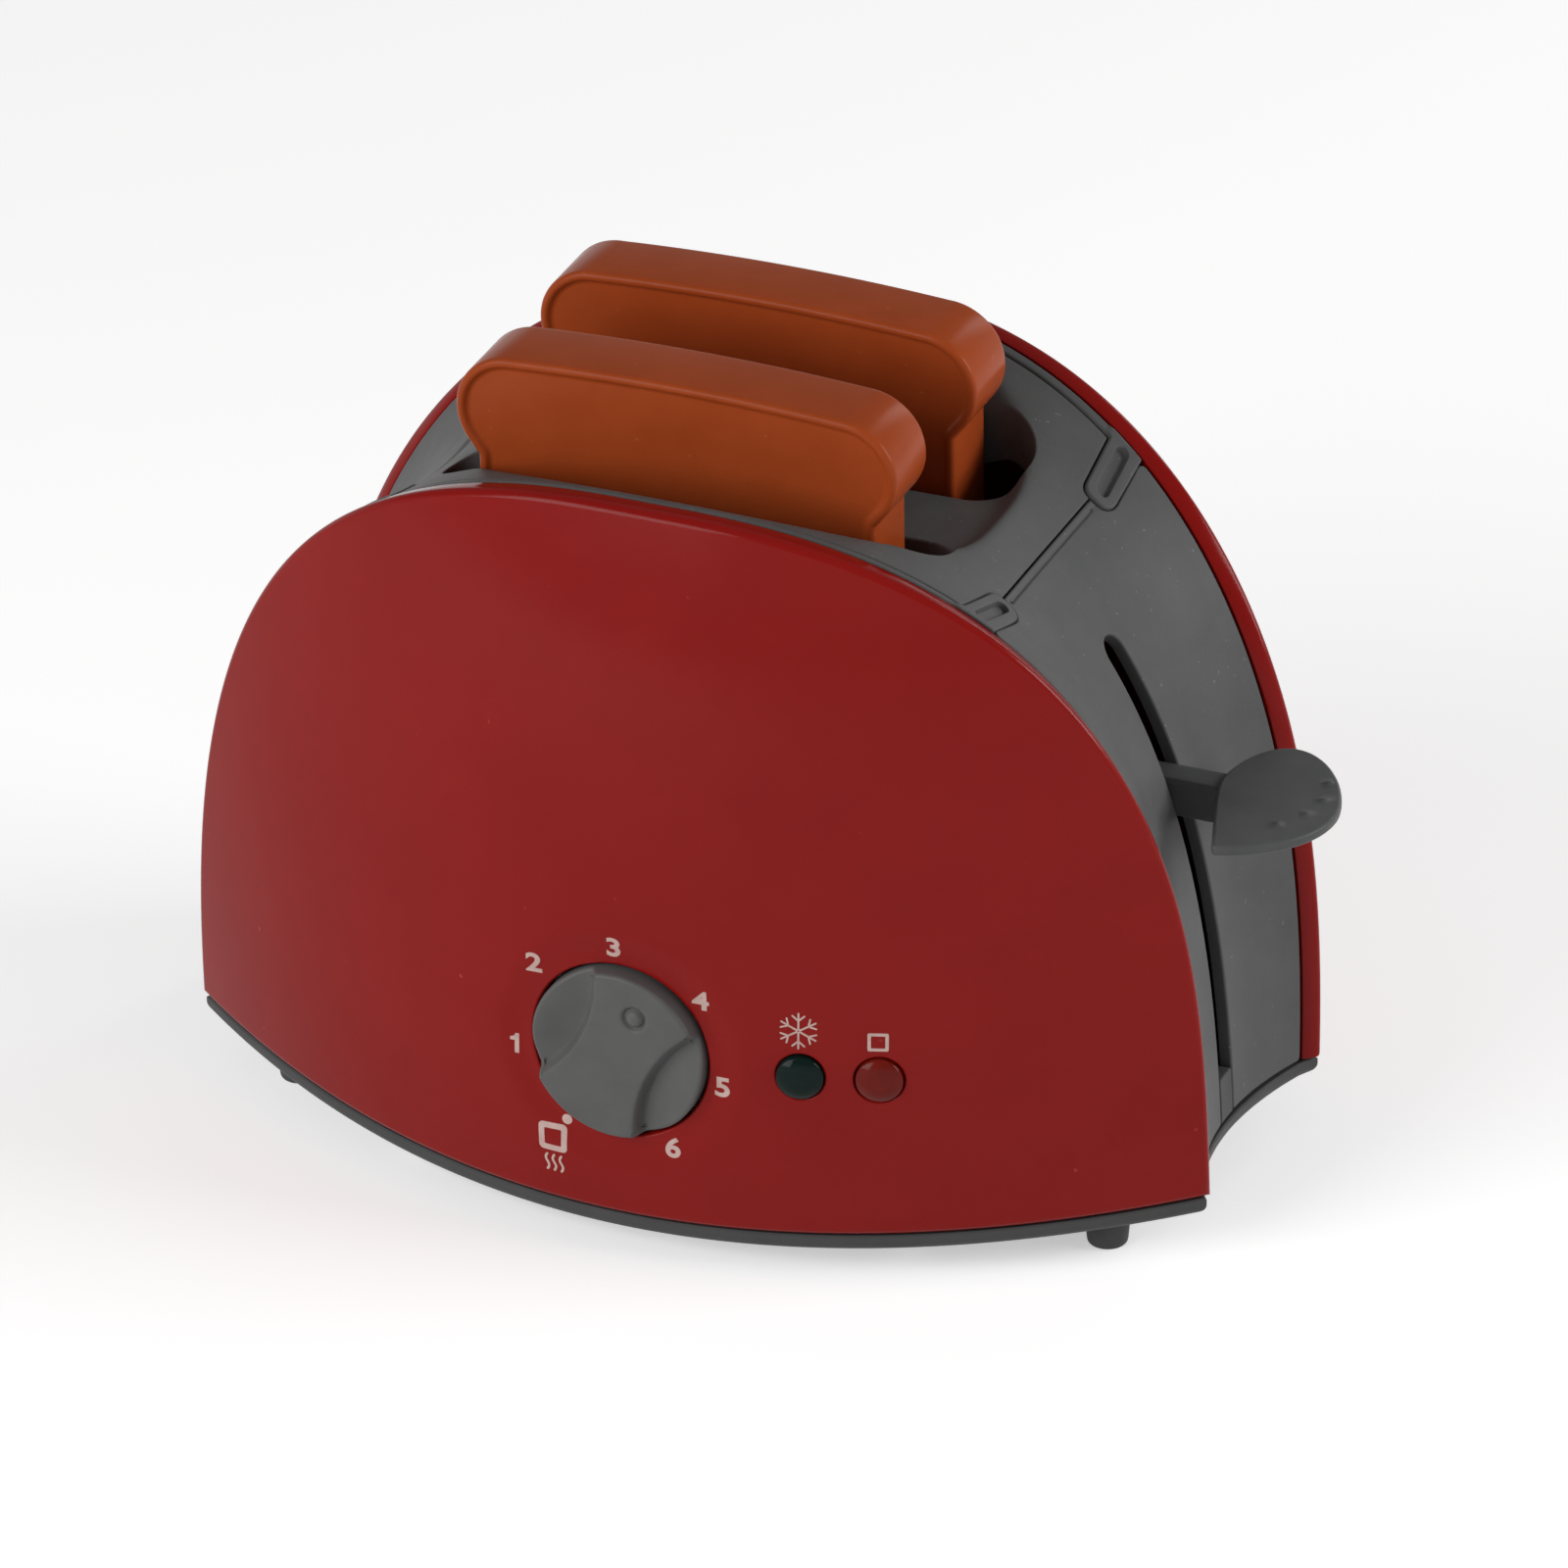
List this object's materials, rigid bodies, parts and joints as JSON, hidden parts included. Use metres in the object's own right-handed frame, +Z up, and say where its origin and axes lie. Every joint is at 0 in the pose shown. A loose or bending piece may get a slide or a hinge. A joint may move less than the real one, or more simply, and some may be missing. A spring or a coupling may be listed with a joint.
{
  "type": "toy toaster",
  "caption": "Toy pop-up toaster with two arched covers, a slotted top, lift-out toast slices, a sprung side lever, a timer dial and push buttons.",
  "frame": {"origin": "middle of the footprint's box, on the surface that the feet stand on", "axes": "+Z up, -Y towards the face with the dial and the buttons, +X towards the end with the lever"},
  "size_m": [0.2042, 0.1246, 0.1486],
  "materials": {
    "red_gloss": "deep red plastic, high gloss",
    "grey_plastic": "mid grey plastic, satin",
    "dark_plastic": "dark grey plastic, matte",
    "toast_brown": "brown plastic, soft gloss",
    "green_button": "dark green plastic, gloss",
    "red_button": "clear red plastic, gloss",
    "white_plastic": "natural plastic, matte",
    "steel": "plated steel",
    "foot_rubber": "dark rubber, matte"
  },
  "bodies": {
    "housing": {"base_tray": "grey_plastic", "foot_front_left": "foot_rubber", "foot_front_right": "foot_rubber", "foot_rear_left": "foot_rubber", "foot_rear_right": "foot_rubber", "base_screw_front_left": "steel", "base_screw_front_right": "steel", "base_screw_rear_left": "steel", "base_screw_rear_right": "steel", "front_cover": "red_gloss", "rear_cover": "red_gloss", "front_frame": "grey_plastic", "rear_frame": "grey_plastic", "front_cover_screw_upper_left": "steel", "front_cover_screw_upper_right": "steel", "front_cover_screw_lower_left": "steel", "front_cover_screw_lower_right": "steel", "rear_cover_screw_upper_left": "steel", "rear_cover_screw_upper_right": "steel", "rear_cover_screw_lower_left": "steel", "rear_cover_screw_lower_right": "steel", "slot_deck": "grey_plastic", "left_end_wall": "grey_plastic", "right_end_wall": "grey_plastic", "guide_rod": "steel", "lift_spring": "steel", "timer_case": "white_plastic", "timer_screw_left": "steel", "timer_screw_right": "steel", "timer_screw_lower": "steel", "defrost_spring": "steel", "stop_spring": "steel", "button_holder": "dark_plastic", "holder_screw_lower": "steel", "holder_screw_upper": "steel", "latch_pin": "steel"},
    "carriage": {"bread_carriage": "dark_plastic", "lever": "grey_plastic", "lever_screw": "steel"},
    "front_slice": {"toast_front": "toast_brown"},
    "rear_slice": {"toast_rear": "toast_brown"},
    "dial": {"dial_knob": "grey_plastic", "timer_shaft": "steel", "timer_cam": "white_plastic"},
    "defrost": {"defrost_button": "green_button"},
    "stop": {"stop_button": "red_button"},
    "latch": {"latch_lever": "white_plastic"}
  },
  "joints": [
    {"name": "carriage_slide", "type": "slide", "parent": "housing", "child": "carriage", "axis": [0, 0, 1], "range_m": [-0.046, 0.014], "stiffness_N_per_m": 60, "springref_m": 0.03, "deforming": ["lift_spring"]},
    {"name": "front_slice_lift", "type": "slide", "parent": "carriage", "child": "front_slice", "axis": [0, 0, 1], "range_m": [0, 0.1]},
    {"name": "rear_slice_lift", "type": "slide", "parent": "carriage", "child": "rear_slice", "axis": [0, 0, 1], "range_m": [0, 0.1]},
    {"name": "dial_turn", "type": "hinge", "parent": "housing", "child": "dial", "pos_m": [-0.00675, -0.05829, 0.0395], "axis": [0, -1, 0], "range_deg": [-124, 176]},
    {"name": "defrost_press", "type": "slide", "parent": "housing", "child": "defrost", "axis": [-0.3047, 0.9525, 0], "range_m": [0, 0.0018], "stiffness_N_per_m": 300, "springref_m": -0.001, "deforming": ["defrost_spring"]},
    {"name": "stop_press", "type": "slide", "parent": "housing", "child": "stop", "axis": [-0.3047, 0.9525, 0], "range_m": [0, 0.0018], "stiffness_N_per_m": 300, "springref_m": -0.001, "deforming": ["stop_spring"]},
    {"name": "latch_swing", "type": "hinge", "parent": "housing", "child": "latch", "pos_m": [0.05085, -0.03329, 0.0395], "axis": [0, 0, 1], "range_deg": [-7, 0.5]}
  ],
  "couplings": [
    {"joint": "latch_swing", "follows": "stop_press", "rad_per_m": -58.8}
  ]
}
